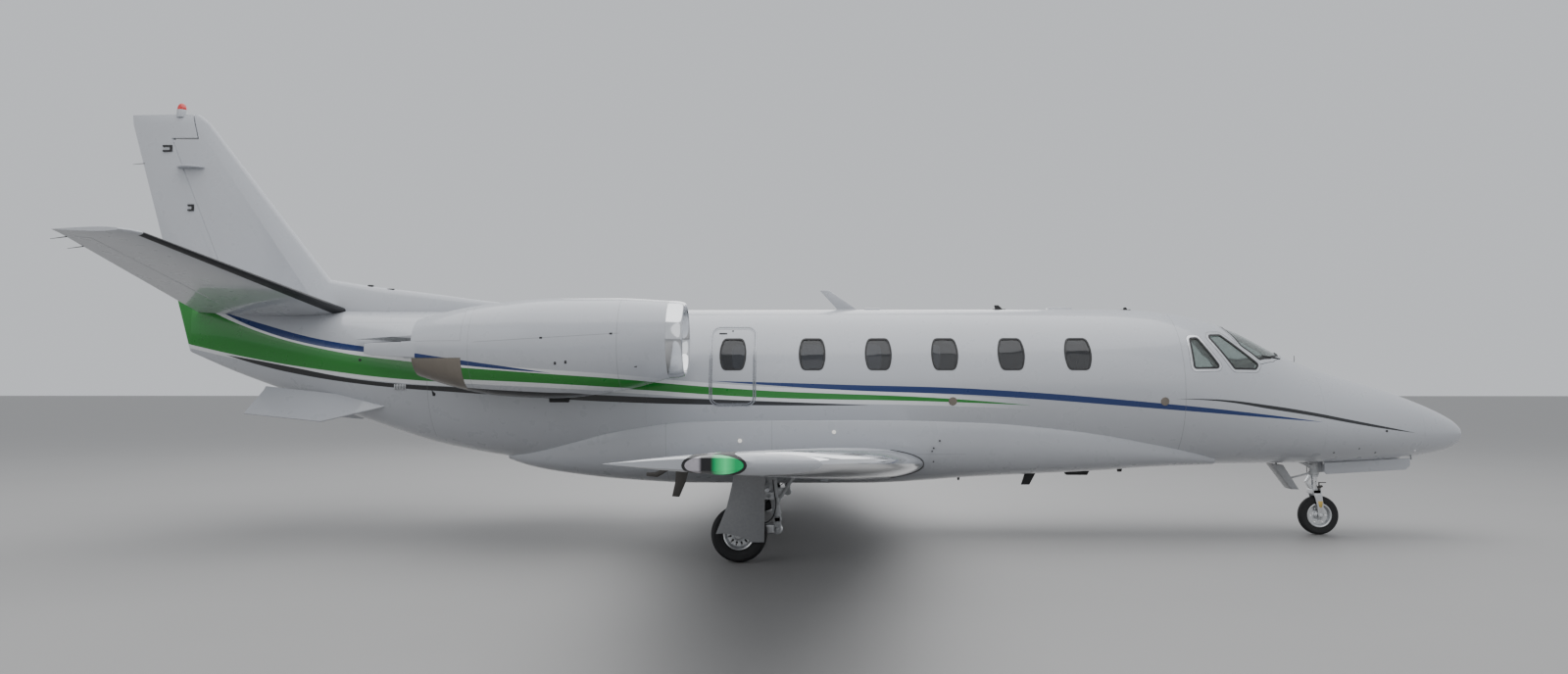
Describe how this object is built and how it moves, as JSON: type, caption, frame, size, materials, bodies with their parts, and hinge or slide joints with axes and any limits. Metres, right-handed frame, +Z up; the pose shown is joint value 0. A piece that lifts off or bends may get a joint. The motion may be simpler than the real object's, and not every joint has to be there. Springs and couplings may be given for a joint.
{
  "type": "business jet",
  "caption": "Twin-engined business jet parked on its gear: hollow cabin, straight low wing, rear engines on pylons, dihedral tail, tall fin and green, blue and black stripes.",
  "frame": {"origin": "on the ground under the middle of the jet's overall box, between the tyres' lowest points", "axes": "+X towards the nose, +Y towards the left wing tip, +Z up"},
  "size_m": [16, 17.17, 5.23],
  "materials": {
    "white_paint": "gloss",
    "polished_edge": "polished",
    "bare_metal": "satin",
    "tinted_glass": "gloss",
    "carpet": "matte",
    "panel_plastic": "matte",
    "seat_leather": "satin",
    "engine_metal": "satin",
    "gear_steel": "satin",
    "wheel_alloy": "satin",
    "tyre": "matte"
  },
  "bodies": {
    "airframe": {"radome": "white_paint", "nose_section": "white_paint", "cabin_shell": "white_paint", "tailcone": "white_paint", "belly_fairing": "white_paint", "cockpit_glass": "tinted_glass", "cabin_windows_left": "tinted_glass", "cabin_windows_right": "tinted_glass", "emergency_exit": "white_paint", "cabin_floor": "carpet", "seats": "seat_leather", "instrument_panel": "panel_plastic", "wing_left": "white_paint", "wing_right": "white_paint", "leading_edge_left": "polished_edge", "leading_edge_right": "polished_edge", "fin": "white_paint", "stabilizer_left": "white_paint", "stabilizer_right": "white_paint", "strake_left": "white_paint", "strake_right": "white_paint", "nacelle_left": "white_paint", "nacelle_right": "white_paint", "inlet_lip_left": "polished_edge", "inlet_lip_right": "polished_edge", "engine_left": "engine_metal", "engine_right": "engine_metal", "pylon_left": "white_paint", "pylon_right": "white_paint", "reverser_upper_left": "white_paint", "reverser_upper_right": "white_paint", "reverser_lower_left": "bare_metal", "reverser_lower_right": "bare_metal", "nose_strut": "gear_steel", "main_leg_left": "gear_steel", "main_leg_right": "gear_steel", "main_link_left": "wheel_alloy", "main_link_right": "wheel_alloy", "main_door_left": "white_paint", "main_door_right": "white_paint"},
    "entry_door": {"entry_door": "white_paint"},
    "nose_steer": {"nose_fork": "wheel_alloy"},
    "nose_roller": {"nose_wheel": "wheel_alloy", "nose_tyre": "tyre"},
    "main_roller_left": {"main_wheel_left": "wheel_alloy", "main_tyre_left": "tyre"},
    "main_roller_right": {"main_wheel_right": "wheel_alloy", "main_tyre_right": "tyre"},
    "fan_left": {"fan_left": "engine_metal"},
    "fan_right": {"fan_right": "engine_metal"},
    "rudder": {"rudder": "white_paint"},
    "nose_door_left": {"nose_door_left": "white_paint"},
    "nose_door_right": {"nose_door_right": "white_paint"},
    "elevator_left": {"elevator_left": "white_paint"},
    "elevator_right": {"elevator_right": "white_paint"},
    "aileron_left": {"aileron_left": "white_paint"},
    "aileron_right": {"aileron_right": "white_paint"},
    "flap_left": {"flap_left": "white_paint"},
    "flap_right": {"flap_right": "white_paint"}
  },
  "joints": [
    {"name": "entry_door_hinge", "type": "hinge", "parent": "airframe", "child": "entry_door", "pos_m": [4.12, 0.561, 0.981], "axis": [-1, 0, 0], "range_deg": [0, 115]},
    {"name": "nose_steering", "type": "hinge", "parent": "airframe", "child": "nose_steer", "pos_m": [6.293, 0, 0.65], "axis": [0, 0, 1], "range_deg": [-20, 20]},
    {"name": "nose_wheel_spin", "type": "hinge", "parent": "nose_steer", "child": "nose_roller", "pos_m": [6.33, 0, 0.228], "axis": [0, 1, 0], "continuous": true},
    {"name": "main_wheel_spin_left", "type": "hinge", "parent": "airframe", "child": "main_roller_left", "pos_m": [-0.35, 2.27, 0.2775], "axis": [0, 1, 0], "continuous": true},
    {"name": "fan_spin_left", "type": "hinge", "parent": "airframe", "child": "fan_left", "pos_m": [-1.93, 1.48, 2.245], "axis": [1, 0, 0], "continuous": true},
    {"name": "flap_hinge_left", "type": "hinge", "parent": "airframe", "child": "flap_left", "pos_m": [-0.47234, 1.02, 0.88699], "axis": [-0.0329, -0.9971, -0.0679], "range_deg": [0, 35]},
    {"name": "aileron_hinge_left", "type": "hinge", "parent": "airframe", "child": "aileron_left", "pos_m": [-0.3768, 5.06, 1.16222], "axis": [-0.0378, -0.997, -0.0679], "range_deg": [-19, 19]},
    {"name": "elevator_hinge_left", "type": "hinge", "parent": "airframe", "child": "elevator_left", "pos_m": [-6.52578, 0.4, 2.71029], "axis": [-0.0158, -0.9848, -0.173], "range_deg": [-20, 15]},
    {"name": "nose_door_hinge_left", "type": "hinge", "parent": "airframe", "child": "nose_door_left", "pos_m": [7.345, 0.136, 0.9], "axis": [-0.9984, 0, -0.0566], "range_deg": [0, 90]},
    {"name": "main_wheel_spin_right", "type": "hinge", "parent": "airframe", "child": "main_roller_right", "pos_m": [-0.35, -2.27, 0.2775], "axis": [0, 1, 0], "continuous": true},
    {"name": "fan_spin_right", "type": "hinge", "parent": "airframe", "child": "fan_right", "pos_m": [-1.93, -1.48, 2.245], "axis": [1, 0, 0], "continuous": true},
    {"name": "flap_hinge_right", "type": "hinge", "parent": "airframe", "child": "flap_right", "pos_m": [-0.47234, -1.02, 0.88699], "axis": [0.0329, -0.9971, 0.0679], "range_deg": [0, 35]},
    {"name": "aileron_hinge_right", "type": "hinge", "parent": "airframe", "child": "aileron_right", "pos_m": [-0.3768, -5.06, 1.16222], "axis": [0.0378, -0.997, 0.0679], "range_deg": [-19, 19]},
    {"name": "elevator_hinge_right", "type": "hinge", "parent": "airframe", "child": "elevator_right", "pos_m": [-6.52578, -0.4, 2.71029], "axis": [0.0158, -0.9848, 0.173], "range_deg": [-20, 15]},
    {"name": "nose_door_hinge_right", "type": "hinge", "parent": "airframe", "child": "nose_door_right", "pos_m": [7.345, -0.136, 0.9], "axis": [0.9984, 0, 0.0566], "range_deg": [0, 90]},
    {"name": "rudder_hinge", "type": "hinge", "parent": "airframe", "child": "rudder", "pos_m": [-6.6962, 0, 2.81], "axis": [-0.3794, 0, 0.9252], "range_deg": [-25, 25]}
  ],
  "couplings": [
    {"joint": "flap_hinge_right", "follows": "flap_hinge_left", "ratio": 1},
    {"joint": "elevator_hinge_right", "follows": "elevator_hinge_left", "ratio": 1},
    {"joint": "aileron_hinge_right", "follows": "aileron_hinge_left", "ratio": -1}
  ]
}
